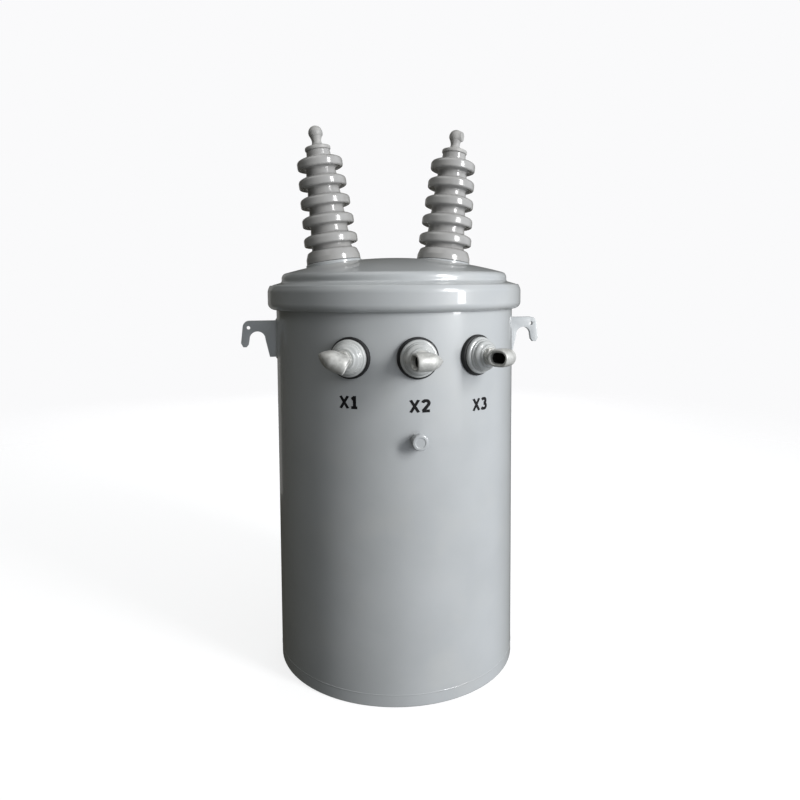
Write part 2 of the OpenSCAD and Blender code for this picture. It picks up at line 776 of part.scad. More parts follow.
hanger_bracket(hanger_high_z);  // hanger_bracket_upper
hanger_bracket(hanger_low_z);  // hanger_bracket_lower
ground_boss();
plate_holder();
rating_plate();
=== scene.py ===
import math

import bmesh
import bpy
from mathutils import Matrix, Vector, geometry, noise


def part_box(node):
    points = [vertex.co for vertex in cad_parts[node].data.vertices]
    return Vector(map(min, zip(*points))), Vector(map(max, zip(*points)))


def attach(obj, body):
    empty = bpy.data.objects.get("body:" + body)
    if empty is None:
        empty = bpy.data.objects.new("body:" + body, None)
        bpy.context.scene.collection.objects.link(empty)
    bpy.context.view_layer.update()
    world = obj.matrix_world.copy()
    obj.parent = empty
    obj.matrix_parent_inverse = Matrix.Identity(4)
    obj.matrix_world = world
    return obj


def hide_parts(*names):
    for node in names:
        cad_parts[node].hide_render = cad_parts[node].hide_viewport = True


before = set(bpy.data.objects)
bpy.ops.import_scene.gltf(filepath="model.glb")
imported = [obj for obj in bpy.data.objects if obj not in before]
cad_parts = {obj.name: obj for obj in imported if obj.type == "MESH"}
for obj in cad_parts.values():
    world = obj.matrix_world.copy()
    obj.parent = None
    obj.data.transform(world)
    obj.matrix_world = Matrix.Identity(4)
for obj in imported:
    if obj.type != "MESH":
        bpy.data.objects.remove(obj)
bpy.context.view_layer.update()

mm = 0.001
joinWithin = 0.002 * mm  # points closer than this become one
print("frame loaded,", len(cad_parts), "nodes")


# where things stand, in millimetres, read from the frame

def boxOf(node):
    low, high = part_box(node)
    return low / mm, high / mm


def middleOf(node):
    low, high = boxOf(node)
    return (low + high) / 2


panHigh = boxOf("tank_bottom")[1]
shellHigh = boxOf("tank_shell")[1]
bandLow, bandHigh = boxOf("cover_band")
coverHigh = boxOf("cover")[1]
tank = {
    "radius": panHigh.x,
    "panTop": panHigh.z,
    "flangeTop": shellHigh.z,
    "flangeRadius": shellHigh.x,
    "coverRadius": coverHigh.x,
    "crown": coverHigh.z,
    "bandRadius": bandHigh.x,
    "bandLow": bandLow.z,
    "bandHigh": bandHigh.z,
}


def turn(axis, degrees):
    return Matrix.Rotation(math.radians(degrees), 4, axis)


def move(x, y, z):
    return Matrix.Translation((x, y, z))


def compass(node):  # angle of a node round the tank, from +X towards +Y
    point = middleOf(node)
    return math.degrees(math.atan2(point.y, point.x))


def onWall(angle, z, out=0.0):  # a point on the tank's side
    reach = tank["radius"] + out
    return Vector((reach * math.cos(math.radians(angle)), reach * math.sin(math.radians(angle)), z))


def standingOut(angle, z):  # local +Z points away from the tank's axis
    return turn("Z", angle) @ move(0, 0, z) @ turn("Y", 90)


# finishes

patchRange = (0.32, 0.68)  # part of the noise that runs from shade to colour
cloudRange = (0.52, 0.78)  # part of the noise that runs from clean to dusty
noiseDetail = {"patch": 5, "cloud": 7, "rough": 6, "grain": 3, "wave": 2}


def srgb(red, green, blue):  # everyday 0-255 colour to the shader's own scale
    def straight(value):
        value = value / 255
        return value / 12.92 if value <= 0.04045 else ((value + 0.055) / 1.055) ** 2.4
    return (straight(red), straight(green), straight(blue), 1.0)


def finish(name, look):
    material = bpy.data.materials.new(name)
    material.use_nodes = True
    nodes, links = material.node_tree.nodes, material.node_tree.links
    shader = nodes["Principled BSDF"]
    place = nodes.new("ShaderNodeTexCoord").outputs["Object"]

    def speckle(scale, detail, stretch=(1, 1, 1)):  # soft noise with its detail in real size
        sized = nodes.new("ShaderNodeMapping")
        sized.inputs["Scale"].default_value = stretch
        links.new(place, sized.inputs["Vector"])
        texture = nodes.new("ShaderNodeTexNoise")
        texture.inputs["Scale"].default_value = scale
        texture.inputs["Detail"].default_value = detail
        links.new(sized.outputs["Vector"], texture.inputs["Vector"])
        return texture.outputs["Fac"]

    def ramp(value, span, first, last):
        blend = nodes.new("ShaderNodeValToRGB")
        blend.color_ramp.elements[0].position = span[0]
        blend.color_ramp.elements[1].position = span[1]
        blend.color_ramp.elements[0].color = first
        blend.color_ramp.elements[1].color = last
        links.new(value, blend.inputs["Fac"])
        return blend.outputs["Color"]

    patches = speckle(look["patchScale"], noiseDetail["patch"], look.get("patchStretch", (1, 1, 1)))
    colour = ramp(patches, patchRange, look["shade"], look["colour"])
    if "dust" in look:  # a thin uneven film that gathers in cloudy patches
        clouds = speckle(look["dustScale"], noiseDetail["cloud"])
        cloud = ramp(clouds, cloudRange, (0, 0, 0, 1), (1, 1, 1, 1))
        mix = nodes.new("ShaderNodeMix")
        mix.data_type = "RGBA"
        mix.inputs["B"].default_value = look["dust"]
        strength = nodes.new("ShaderNodeMath")
        strength.operation = "MULTIPLY"
        strength.inputs[1].default_value = look["dustAmount"]
        links.new(cloud, strength.inputs[0])
        links.new(strength.outputs[0], mix.inputs["Factor"])
        links.new(colour, mix.inputs["A"])
        colour = mix.outputs["Result"]
    links.new(colour, shader.inputs["Base Color"])

    low, high = look["roughness"]
    rough = nodes.new("ShaderNodeMapRange")
    rough.inputs["To Min"].default_value = low
    rough.inputs["To Max"].default_value = high
    links.new(speckle(look["roughScale"], noiseDetail["rough"]), rough.inputs["Value"])
    links.new(rough.outputs["Result"], shader.inputs["Roughness"])

    height = speckle(look["grainScale"], noiseDetail["grain"], look.get("grainStretch", (1, 1, 1)))
    bump = nodes.new("ShaderNodeBump")
    bump.inputs["Strength"].default_value = look["grainStrength"]
    bump.inputs["Distance"].default_value = look["grainDepth"] * mm
    links.new(height, bump.inputs["Height"])
    if "waveDepth" in look:  # long soft waves under the fine grain
        wave = nodes.new("ShaderNodeBump")
        wave.inputs["Strength"].default_value = 1.0
        wave.inputs["Distance"].default_value = look["waveDepth"] * mm
        links.new(speckle(look["waveScale"], noiseDetail["wave"]), wave.inputs["Height"])
        links.new(wave.outputs["Normal"], bump.inputs["Normal"])
    links.new(bump.outputs["Normal"], shader.inputs["Normal"])
    shader.inputs["Metallic"].default_value = look.get("metallic", 0.0)
    shader.inputs["Specular IOR Level"].default_value = look.get("specular", 0.5)
    shader.inputs["Coat Weight"].default_value = look.get("coat", 0.0)
    shader.inputs["Coat Roughness"].default_value = look.get("coatRoughness", 0.03)
    return material


tankPaint = finish("tank_paint", {
    "colour": srgb(176, 179, 180), "shade": srgb(169, 172, 173), "patchScale": 9,
    "dust": srgb(188, 187, 180), "dustScale": 14, "dustAmount": 0.2,
    "roughness": (0.26, 0.38), "roughScale": 40,
    "grainScale": 900, "grainStrength": 0.25, "grainDepth": 0.05,
    "waveScale": 26, "waveDepth": 0.12,
    "coat": 0.6, "coatRoughness": 0.035,
})
porcelainGlaze = finish("porcelain_glaze", {
    "colour": srgb(164, 163, 161), "shade": srgb(154, 153, 151), "patchScale": 30,
    "dust": srgb(172, 171, 166), "dustScale": 45, "dustAmount": 0.25,
    "roughness": (0.14, 0.24), "roughScale": 90,
    "grainScale": 420, "grainStrength": 0.2, "grainDepth": 0.06,
    "waveScale": 60, "waveDepth": 0.12,
    "coat": 0.6, "coatRoughness": 0.14,
})
paleGlaze = finish("pale_glaze", {
    "colour": srgb(186, 188, 186), "shade": srgb(176, 178, 177), "patchScale": 40,
    "dust": srgb(196, 195, 190), "dustScale": 60, "dustAmount": 0.3,
    "roughness": (0.2, 0.3), "roughScale": 120,
    "grainScale": 600, "grainStrength": 0.2, "grainDepth": 0.05,
    "coat": 0.5, "coatRoughness": 0.08,
})
blackRubber = finish("black_rubber", {
    "colour": srgb(26, 27, 28), "shade": srgb(17, 17, 18), "patchScale": 120,
    "roughness": (0.5, 0.75), "roughScale": 300,
    "grainScale": 1500, "grainStrength": 0.4, "grainDepth": 0.08,
})
tinnedBronze = finish("tinned_bronze", {
    "colour": srgb(206, 206, 202), "shade": srgb(176, 176, 172), "patchScale": 160,
    "dust": srgb(222, 222, 218), "dustScale": 240, "dustAmount": 0.4,
    "roughness": (0.42, 0.62), "roughScale": 420,
    "grainScale": 1300, "grainStrength": 0.45, "grainDepth": 0.09,
    "metallic": 0.4,
})
# painted shade: a dark metal colour for the inside of the eye's slot, standing in for the shade in that
# hollow
slotShadeBronze = finish("slot_shade_bronze", {
    "colour": srgb(62, 60, 56), "shade": srgb(38, 37, 35), "patchScale": 200,
    "roughness": (0.6, 0.8), "roughScale": 420,
    "grainScale": 1300, "grainStrength": 0.5, "grainDepth": 0.1,
    "metallic": 0.4,
})
greyCap = finish("grey_cap", {
    "colour": srgb(170, 169, 166), "shade": srgb(157, 156, 154), "patchScale": 90,
    "dust": srgb(182, 181, 176), "dustScale": 160, "dustAmount": 0.4,
    "roughness": (0.42, 0.6), "roughScale": 260,
    "grainScale": 1200, "grainStrength": 0.4, "grainDepth": 0.08,
})
zincSteel = finish("zinc_steel", {
    "colour": srgb(178, 180, 182), "shade": srgb(142, 146, 150), "patchScale": 150,
    "roughness": (0.3, 0.5), "roughScale": 350,
    "grainScale": 1400, "grainStrength": 0.3, "grainDepth": 0.05,
    "metallic": 0.9,
})
brushedPlate = finish("brushed_plate", {
    "colour": srgb(196, 198, 200), "shade": srgb(178, 180, 183), "patchScale": 60,
    "patchStretch": (1, 1, 14),
    "roughness": (0.28, 0.42), "roughScale": 300,
    "grainScale": 700, "grainStrength": 0.3, "grainDepth": 0.03, "grainStretch": (1, 1, 22),
    "metallic": 0.5,
})
blackPaint = finish("black_paint", {
    "colour": srgb(16, 16, 18), "shade": srgb(10, 10, 12), "patchScale": 200,
    "roughness": (0.55, 0.7), "roughScale": 500,
    "grainScale": 1600, "grainStrength": 0.2, "grainDepth": 0.03,
    "specular": 0.2,
})
print("finishes made:", len(bpy.data.materials))


# ways of making a piece; all sizes in millimetres

def keep(piece, material, replaced=()):  # joins a piece to the frame
    piece.data.materials.clear()
    piece.data.materials.append(material)
    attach(piece, "root")
    if replaced:
        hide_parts(*replaced)
    return piece


def meshPiece(name, points, faces, place=None):
    mesh = bpy.data.meshes.new(name)
    mesh.from_pydata([Vector(point) for point in points], [], faces)
    if place:
        mesh.transform(place)
    mesh.transform(Matrix.Scale(mm, 4))
    work = bmesh.new()
    work.from_mesh(mesh)
    bmesh.ops.remove_doubles(work, verts=work.verts, dist=joinWithin)
    bmesh.ops.recalc_face_normals(work, faces=work.faces)
    work.to_mesh(mesh)
    work.free()
    mesh.shade_smooth()
    piece = bpy.data.objects.new(name, mesh)
    bpy.context.scene.collection.objects.link(piece)
    return piece


def skin(name, rings, place=None, loop=False):  # closed rings of points, skinned one to the next
    count = len(rings[0])
    points = [point for ring in rings for point in ring]
    faces = []
    for row in range(len(rings) if loop else len(rings) - 1):
        here, there = row * count, (row + 1) % len(rings) * count
        for step in range(count):
            after = (step + 1) % count
            faces.append((here + step, here + after, there + after, there + step))
    if not loop:
        faces.append(tuple(range(count)))
        faces.append(tuple(range(len(points) - count, len(points))))
    return meshPiece(name, points, faces, place)


outlineRules = {
    "straight": 89.5,     # half angles past this, in degrees, aren't corners
    "shallow": 75,        # sharp corners past this need no guard points
    "share": 0.99,        # of an edge, the most that its two arcs may take
    "guard": 0.8,         # from an arc to the point that keeps the flat beside it flat
    "sharpGuard": 0.2,    # the same beside a sharp corner
}


def rounded(corners, arcSteps=6):  # corners are (x, y) or (x, y, radius), and the outline is closed
    straight, shallow = math.radians(outlineRules["straight"]), math.radians(outlineRules["shallow"])
    share, guard, sharpGuard = outlineRules["share"], outlineRules["guard"], outlineRules["sharpGuard"]
    count = len(corners)
    points = [Vector(corner[:2]) for corner in corners]
    edges = [points[(index + 1) % count] - points[index] for index in range(count)]
    halves = [(-edges[index - 1]).angle(edges[index], math.pi) / 2 for index in range(count)]
    wanted = [corner[2] / math.tan(half) if len(corner) > 2 and half < straight else 0
              for corner, half in zip(corners, halves)]
    cuts = []
    for index in range(count):  # neighbours that want more than the edge between them share it
        before = edges[index - 1].length / max(wanted[index - 1] + wanted[index], 0.001)
        after = edges[index].length / max(wanted[index] + wanted[(index + 1) % count], 0.001)
        cuts.append(wanted[index] * min(1, before * share, after * share))
    outline = []
    for index, (here, half, cut) in enumerate(zip(points, halves, cuts)):
        toBefore, toAfter = -edges[index - 1].normalized(), edges[index].normalized()
        if cut == 0 and half > shallow:
            outline.append(here)
            continue
        if cut == 0:
            outline += [here + toBefore * sharpGuard, here, here + toAfter * sharpGuard]
            continue
        start = here + toBefore * cut
        middle = here + (toBefore + toAfter).normalized() * (cut / math.cos(half))
        first = start - middle
        sweep = first.angle_signed(here + toAfter * cut - middle)
        if edges[index - 1].length - cut - cuts[index - 1] > 3 * guard:
            outline.append(start + toBefore * guard)
        for step in range(arcSteps + 1):
            outline.append(middle + Matrix.Rotation(-sweep * step / arcSteps, 2) @ first)
        if edges[index].length - cut - cuts[(index + 1) % count] > 3 * guard:
            outline.append(here + toAfter * (cut + guard))
    return outline


def turned(name, outline, place=None, steps=192, sweep=(0, 360)):  # spins (radius, height) points about Z
    whole = sweep[1] - sweep[0] >= 360
    rings = []
    for step in range(steps if whole else steps + 1):
        angle = math.radians(sweep[0] + (sweep[1] - sweep[0]) * step / steps)
        rings.append([(radius * math.cos(angle), radius * math.sin(angle), z) for radius, z in outline])
    return skin(name, rings, place, loop=whole)


nutShape = {
    "taper": 0.036,     # how far inside the flats the cone starts, as a part of their width
    "slope": 1.8,       # of the cone that turns off the corners
    "levels": [0, 0.3, 0.6, 1.0, 1.5, 2.2],
    "steps": 144,
}


def hexNut(name, place, acrossFlats, height, bore):
    def reach(angle, depth):
        flat = acrossFlats / 2 / math.cos((angle + math.pi / 6) % (math.pi / 3) - math.pi / 6)
        return min(flat, acrossFlats / 2 * (1 - nutShape["taper"]) + depth * nutShape["slope"])
    levels, steps = nutShape["levels"], nutShape["steps"]
    heights = levels + [height - level for level in reversed(levels)]
    rings = []
    for step in range(steps):
        angle = math.tau * step / steps
        ring = [Vector((bore, 0, 0)), Vector((bore, 0, height))]
        ring += [Vector((reach(angle, min(level, height - level)), 0, level)) for level in reversed(heights)]
        rings.append([Matrix.Rotation(angle, 3, "Z") @ point for point in ring])
    return skin(name, rings, place, loop=True)


threadShape = {
    "depth": 0.6,
    "around": 48,
    "rowsPerTurn": 8,
}


def threadedRod(name, place, radius, length, pitch):
    depth, around = threadShape["depth"], threadShape["around"]
    rows = int(length / pitch * threadShape["rowsPerTurn"])
    rings = []
    for row in range(rows + 1):
        z = length * row / rows
        ring = []
        for step in range(around):
            angle = math.tau * step / around
            phase = (z / pitch - step / around) % 1
            fade = min(1, z / pitch, (length - z) / pitch)
            r = radius - depth * fade * abs(2 * phase - 1) - (1 - fade) * depth * 0.5
            ring.append((r * math.cos(angle), r * math.sin(angle), z))
        rings.append(ring)
    return skin(name, rings, place)


beadShape = {
    "around": 10,
    "flat": 0.8,          # height to width
    "ripple": 0.1,
    "ripplePace": 2.1,
    "lumps": 0.16,
    "lumpScale": 0.11,
    "end": 0.55,          # size of an open end, and how much each step adds to it
    "endGrowth": 0.15,
    "drift": 0.25,        # sideways wander
    "driftScale": 0.07,
    "spacing": 1.3,
}


def weldBead(name, path, radius, closed=False, seed=0.0):  # a rippled bead along points on the tank's side
    shape, around = beadShape, beadShape["around"]
    rings = []
    for index, point in enumerate(path):
        before = path[index - 1] if index or closed else point
        after = path[(index + 1) % len(path)] if index < len(path) - 1 or closed else point
        along = (after - before).normalized()
        out = Vector((point.x, point.y, 0)).normalized()
        side = along.cross(out).normalized()
        out = side.cross(along)
        lump = noise.noise(point * shape["lumpScale"] + Vector((seed, 0, 0)))
        size = radius * (1 + shape["ripple"] * math.sin(index * shape["ripplePace"]) + shape["lumps"] * lump)
        if not closed:
            size *= min(1, shape["end"] + shape["endGrowth"] * min(index, len(path) - 1 - index))
        wander = noise.noise(point * shape["driftScale"] + Vector((0, seed, 5)))
        drift = side * radius * shape["drift"] * wander
        rings.append([point + drift + side * size * math.cos(math.tau * step / around)
                      + out * size * shape["flat"] * math.sin(math.tau * step / around)
                      for step in range(around)])
    return skin(name, rings, loop=closed)


def along(corners, closed=False):  # evenly spaced points along straight runs
    points = []
    ends = corners[1:] + (corners[:1] if closed else [])
    for start, end in zip(corners, ends):
        count = max(1, round((end - start).length / beadShape["spacing"]))
        points += [start.lerp(end, step / count) for step in range(count)]
    return points if closed else points + [corners[-1]]


edgeShape = {
    "flatWithin": 1.0,    # degrees; faces that meet flatter than this are one
    "sharpPast": 30,      # degrees; edges sharper than this are rounded
    "segments": 3,
}


def softEdged(node, width):  # the node's own shape with its sharp edges taken off
    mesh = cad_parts[node].data.copy()
    work = bmesh.new()
    work.from_mesh(mesh)
    bmesh.ops.remove_doubles(work, verts=work.verts, dist=joinWithin)
    flat = math.radians(edgeShape["flatWithin"])
    bmesh.ops.dissolve_limit(work, angle_limit=flat, verts=work.verts, edges=work.edges)
    work.to_mesh(mesh)
    work.free()
    mesh.shade_smooth()
    piece = bpy.data.objects.new(node + "_finished", mesh)
    bpy.context.scene.collection.objects.link(piece)
    bevel = piece.modifiers.new("edges", "BEVEL")
    bevel.width = width * mm
    bevel.segments = edgeShape["segments"]
    bevel.limit_method = "ANGLE"
    bevel.angle_limit = math.radians(edgeShape["sharpPast"])
    bevel.harden_normals = True
    return piece


# tank

tankShape = {
    "wall": 3.5,
    "flange": 4.0,
    "panWall": 5.0,
    "panEdge": 2.0,
    "flangeEdge": 1.0,
    "panCorner": 3.0,     # where the pan's floor meets its wall inside
    "seam": 1.15,
    "seamSink": 0.6,      # how far the bead's middle lies inside the wall
    "seamSteps": 1000,
    "rows": 44,
    "steps": 288,
    "wave": 0.22,         # rolled sheet is never perfectly round
    "waveScale": 0.009,
    "waveStretch": 0.6,
    "waveClear": 2.0,     # no waves this close to the seam and the flange
}


def makeTank(shape):
    r, top = tank["radius"], tank["flangeTop"]
    inner = r - shape["wall"]
    low = tank["panTop"]
    wallTop = top - shape["flange"]
    rows = [(r, low + (wallTop - low) * row / shape["rows"]) for row in range(1, shape["rows"])]
    edge, clear = shape["flangeEdge"], shape["waveClear"]
    outline = rounded([(r, low), *rows, (r, wallTop), (tank["flangeRadius"], wallTop, edge),
                       (tank["flangeRadius"], top, edge), (inner, top), (inner, low)])
    shell = turned("tank_body", outline, steps=shape["steps"])
    for vertex in shell.data.vertices:
        point = vertex.co / mm
        if low + clear < point.z < wallTop - clear:
            out = Vector((point.x, point.y, 0)).normalized()
            spot = Vector((point.x, point.y, point.z * shape["waveStretch"])) * shape["waveScale"]
            vertex.co += out * noise.noise(spot) * shape["wave"] * mm
    keep(shell, tankPaint, ["tank_shell"])
    pan = turned("tank_pan", rounded([
        (0, 0), (r, 0, shape["panEdge"]), (r, low), (inner, low),
        (inner, shape["panWall"], shape["panCorner"]), (0, shape["panWall"])]), steps=shape["steps"])
    keep(pan, tankPaint, ["tank_bottom"])
    path = [onWall(360 * step / shape["seamSteps"], low, -shape["seamSink"])
            for step in range(shape["seamSteps"])]
    keep(weldBead("pan_seam", path, shape["seam"], closed=True), tankPaint)


makeTank(tankShape)
print("tank made")


# cover and its band

coverShape = {
    "sheet": 3.0,
    "shoulderDrop": 45.5,   # from the crown down to the shoulder
    "slopeWidth": 15.5,
    "slopeRise": 4.5,
    "stepInset": 2.0,
    "stepRound": 9.0,
    "domeRise": 26.0,
    "dishRound": 5.0,
    "dishDepth": 1.5,       # of the step's foot above the slope, towards the dome
    "slopeRound": 3.0,
    "shoulderRound": 5.0,
    "edgeReach": 8.0,       # from the step back to where the dome's own line ends
    "domeSteps": 40,
    "steps": 256,
}


def domeRadius(shape):
    edge = tank["coverRadius"] - shape["slopeWidth"] - shape["stepInset"] - shape["stepRound"] / 2
    return (edge ** 2 + shape["domeRise"] ** 2) / (2 * shape["domeRise"])


def makeCover(shape):
    crown, shoulderR = tank["crown"], tank["coverRadius"]
    shoulderZ = crown - shape["shoulderDrop"]
    slopeR, slopeZ = shoulderR - shape["slopeWidth"], shoulderZ + shape["slopeRise"]
    stepR = slopeR - shape["stepInset"]
    bigR = domeRadius(shape)

    def domeAt(radius, inset):  # height of the dome's face this far from its middle
        return crown - bigR + math.sqrt((bigR - inset) ** 2 - radius ** 2)

    def face(inset):  # from the crown to the dome's edge, and down to the tank's flange
        reach, count = stepR - inset - shape["edgeReach"], shape["domeSteps"]
        line = [(reach * step / count, domeAt(reach * step / count, inset)) for step in range(count + 1)]
        return line + [
            (stepR - inset, domeAt(stepR - inset, inset), shape["stepRound"] - inset),
            (stepR - inset, slopeZ + shape["dishDepth"] - inset, shape["dishRound"]),
            (slopeR - inset, slopeZ - inset, shape["slopeRound"]),
            (shoulderR - inset, shoulderZ - inset, shape["shoulderRound"]),
            (shoulderR - inset, tank["flangeTop"])]

    lid = turned("cover_lid", rounded(face(0) + face(shape["sheet"])[::-1]), steps=shape["steps"])
    keep(lid, tankPaint, ["cover"])


makeCover(coverShape)

bandShape = {
    "sheet": 3.0,
    "topRound": 14.0,
    "topSlope": 9.0,
    "lowRound": 11.0,
    "lowLip": 1.0,        # clear of the tank's side
    "topLip": 0.3,        # clear of the cover's side
    "topDrop": 1.0,       # of the rolled top edge below the band's full height
    "topReach": 2.0,      # of the roll before its edge
    "innerRound": 6.0,
    "innerDrop": 1.5,
    "gap": 14.0,
    "arcSteps": 10,
    "steps": 256,
}


def makeBand(shape):
    outer, low, high, sheet = tank["bandRadius"], tank["bandLow"], tank["bandHigh"], shape["sheet"]
    lowIn, topIn = tank["radius"] + shape["lowLip"], tank["coverRadius"] + shape["topLip"]
    inner = outer - sheet
    slope = shape["topSlope"]  # the top edge rolls in towards the cover
    top = high - shape["topDrop"]
    outline = rounded([
        (lowIn, low, 0.8), (outer, low, shape["lowRound"]), (outer, high - slope, shape["topRound"]),
        (topIn + shape["topReach"], top, 3), (topIn, top, 0.4), (topIn, top - sheet, 0.6),
        (inner, high - slope - shape["innerDrop"], shape["innerRound"]),
        (inner, low + sheet, shape["lowRound"] - sheet),
        (lowIn, low + sheet, 0.8)], arcSteps=shape["arcSteps"])
    boltAngle = compass("band_bolt")
    halfGap = math.degrees(math.asin(shape["gap"] / 2 / outer))
    sweep = (boltAngle + halfGap, boltAngle + 360 - halfGap)
    keep(turned("clamp_band", outline, steps=shape["steps"], sweep=sweep),
         tankPaint, ["cover_band"])


makeBand(bandShape)

boltShape = {
    "radius": 6.0,
    "acrossFlats": 18.0,
    "ear": 12.0,          # from the gap's middle to an ear's outer face
    "earEdge": 0.8,
    "washer": 1.5,
    "washerEdge": 0.4,
    "washerSteps": 64,
    "head": 8.0,
    "headBore": 0.01,     # as good as solid
    "nut": 9.0,
    "nutBore": 5.5,
    "tail": 17.0,
    "pitch": 1.75,
}


def makeBandBolt(shape):
    middle = middleOf("band_ears")
    angle = compass("band_bolt")
    reach = math.hypot(*middleOf("band_bolt").xy)
    place = turn("Z", angle) @ move(reach, 0, middle.z) @ turn("X", -90)
    ear, washer, edge = shape["ear"], shape["washer"], shape["washerEdge"]
    keep(softEdged("band_ears", shape["earEdge"]), tankPaint, ["band_ears"])
    rod = threadedRod("band_bolt_thread", place @ move(0, 0, -ear), shape["radius"],
                      2 * ear + shape["tail"], shape["pitch"])
    keep(rod, zincSteel, ["band_bolt"])
    for name, z in (("band_washer_head", -ear - washer), ("band_washer_nut", ear)):
        ring = rounded([(shape["radius"], 0), (shape["radius"] * 2, 0, edge),
                        (shape["radius"] * 2, washer, edge), (shape["radius"], washer)], arcSteps=3)
        keep(turned(name, ring, place @ move(0, 0, z), steps=shape["washerSteps"]), zincSteel)
    head = hexNut("band_bolt_head", place @ move(0, 0, -ear - washer - shape["head"]),
                  shape["acrossFlats"], shape["head"], shape["headBore"])
    keep(head, zincSteel)
    nut = hexNut("band_bolt_nut", place @ move(0, 0, ear + washer), shape["acrossFlats"], shape["nut"],
                 shape["nutBore"])
    keep(nut, zincSteel)


makeBandBolt(boltShape)
print("cover and band made")


# high-voltage bushings

highBushing = {
    "lean": 8.0,
    "gasketMiddle": 4.75,   # above the dome, along the bushing's axis
    "gasketInset": 4.0,     # from the porcelain's foot
    "seatRadius": 49.0,
    "seatTop": 4.0,
    "seatLow": -9.0,
    "skirt": (6.0, -1.5, -7.0),  # how far the seat's foot runs out, and the heights it runs between
    "bore": 31.0,
    "shank": 30.0,
    "shankLow": -22.0,
    "leadHole": 6.0,
    "footLow": 4.6,
    "footHigh": 25.5,
    "footRadius": 47.5,
    "firstShed": 35.0,
    "pitch": 33.4,
    "shedCount": 5,
    "shedThick": 18.0,
    "shedLowest": 47.0,
    "shedHighest": 39.8,
    "neckLowest": 34.0,
    "neckHighest": 25.5,
    "collar": 20.5,
    "collarHeight": 14.0,
}
highTerminal = {
    "cap": 22.4,
    "capHeight": 10.5,
    "cone": 4.0,
    "neck": 8.6,
    "knob": 12.4,
    "knobRise": 21.0,
    "ballArc": 118,         # degrees of the ball, from its back to the barrel
    "ballSteps": 24,
    "face": 8.8,
    "faceOut": 12.8,
    "faceTurn": {"left": 60, "right": -34},
}


def highPlace(side):  # local +Z runs up the bushing from the dome
    shape = highBushing
    middle = middleOf("hv_gasket_" + side)
    angle = math.degrees(math.atan2(middle.y, middle.x))
    leaning = turn("Z", angle) @ turn("Y", shape["lean"]) @ turn("Z", -angle)
    return Matrix.Translation(middle) @ leaning @ move(0, 0, -shape["gasketMiddle"])


def highOutline(shape):
    foot, footTop = shape["footRadius"], shape["footHigh"]
    corners = [(shape["shank"], shape["shankLow"]), (shape["shank"], shape["footLow"]),
               (foot, shape["footLow"], 0.8), (foot - 0.6, shape["footLow"] + 9, 6),
               (foot - 4.5, footTop - 1, 6)]
    last = shape["shedCount"] - 1
    below = footTop
    for index in range(shape["shedCount"]):
        share = index / last
        shed = shape["shedLowest"] + (shape["shedHighest"] - shape["shedLowest"]) * share
        neck = shape["neckLowest"] + (shape["neckHighest"] - shape["neckLowest"]) * share
        low = shape["firstShed"] + index * shape["pitch"]
        high = low + shape["shedThick"]
        corners += [(neck + 1.5, below + 1.6, 3.5), (neck, low - 1.5, 3.0), (shed - 9, low + 1.8, 3.0),
                    (shed - 3.5, low - 0.4, 1.2), (shed, low + 1.2, 3.0), (shed, high - 3.5, 6.5),
                    (shed - 7, high - 0.2, 8)]
        below = high
    top = below + shape["collarHeight"]
    corners += [(shape["collar"] + 1, below + 1.6, 3), (shape["collar"], top, 1.0),
                (shape["leadHole"], top), (shape["leadHole"], shape["shankLow"])]
    return rounded(corners), top


def makeHighBushing(side):
    shape, place = highBushing, highPlace(side)
    skirtReach, skirtTop, skirtLow = shape["skirt"]
    seat = rounded([(shape["bore"], shape["seatLow"]), (shape["bore"], shape["seatTop"]),
                    (shape["seatRadius"], shape["seatTop"], 1.6), (shape["seatRadius"], skirtTop, 3.5),
                    (shape["seatRadius"] + skirtReach, skirtLow)])
    keep(turned("hv_seat_ring_" + side, seat, place), tankPaint, ["hv_seat_" + side])
    gasketRadius = shape["footRadius"] - shape["gasketInset"]
    gasket = rounded([(shape["bore"], shape["seatTop"]), (gasketRadius, shape["seatTop"], 0.2),
                      (gasketRadius, shape["footLow"], 0.2), (shape["bore"], shape["footLow"])], arcSteps=3)
    keep(turned("hv_washer_" + side, gasket, place), blackRubber, ["hv_gasket_" + side])
    outline, top = highOutline(shape)
    keep(turned("hv_porcelain_" + side, outline, place), porcelainGlaze, ["hv_bushing_" + side])

    metal = highTerminal
    capTop = top + metal["capHeight"]
    coneLow, neck, neckEnd = capTop - metal["cone"], metal["neck"], capTop + metal["knobRise"] - 5
    cap = rounded([
        (0, top), (metal["cap"], top, 2.0), (metal["cap"], coneLow, 2.5),
        (metal["cap"] - 5, coneLow + 1.2, 3), (neck + 1.5, capTop - 0.5, 3.5),
        (neck - 0.4, capTop + 4, 4), (neck - 0.2, capTop + 8, 3),
        (neck + 2.2, neckEnd), (0, neckEnd)])
    keep(turned("hv_cap_" + side, cap, place, steps=128), greyCap, ["hv_terminal_" + side])
    ball = []
    for step in range(metal["ballSteps"] + 1):  # a ball that runs into a short barrel with a flat face
        angle = math.radians(180 - metal["ballArc"] * step / metal["ballSteps"])
        ball.append((metal["knob"] * math.sin(angle), metal["knob"] * math.cos(angle)))
    face, end = metal["face"], metal["faceOut"]
    outlineBall = rounded(ball + [(face + 0.3, end - 3, 2), (face - 0.6, end, 1.4), (0, end)])
    knobPlace = (place @ move(0, 0, capTop + metal["knobRise"]) @ turn("Z", metal["faceTurn"][side])
                 @ turn("Y", 90))
    keep(turned("hv_knob_" + side, outlineBall, knobPlace, steps=96), greyCap)


for side in ("left", "right"):
    makeHighBushing(side)
print("high-voltage bushings made")


# low-voltage bushings

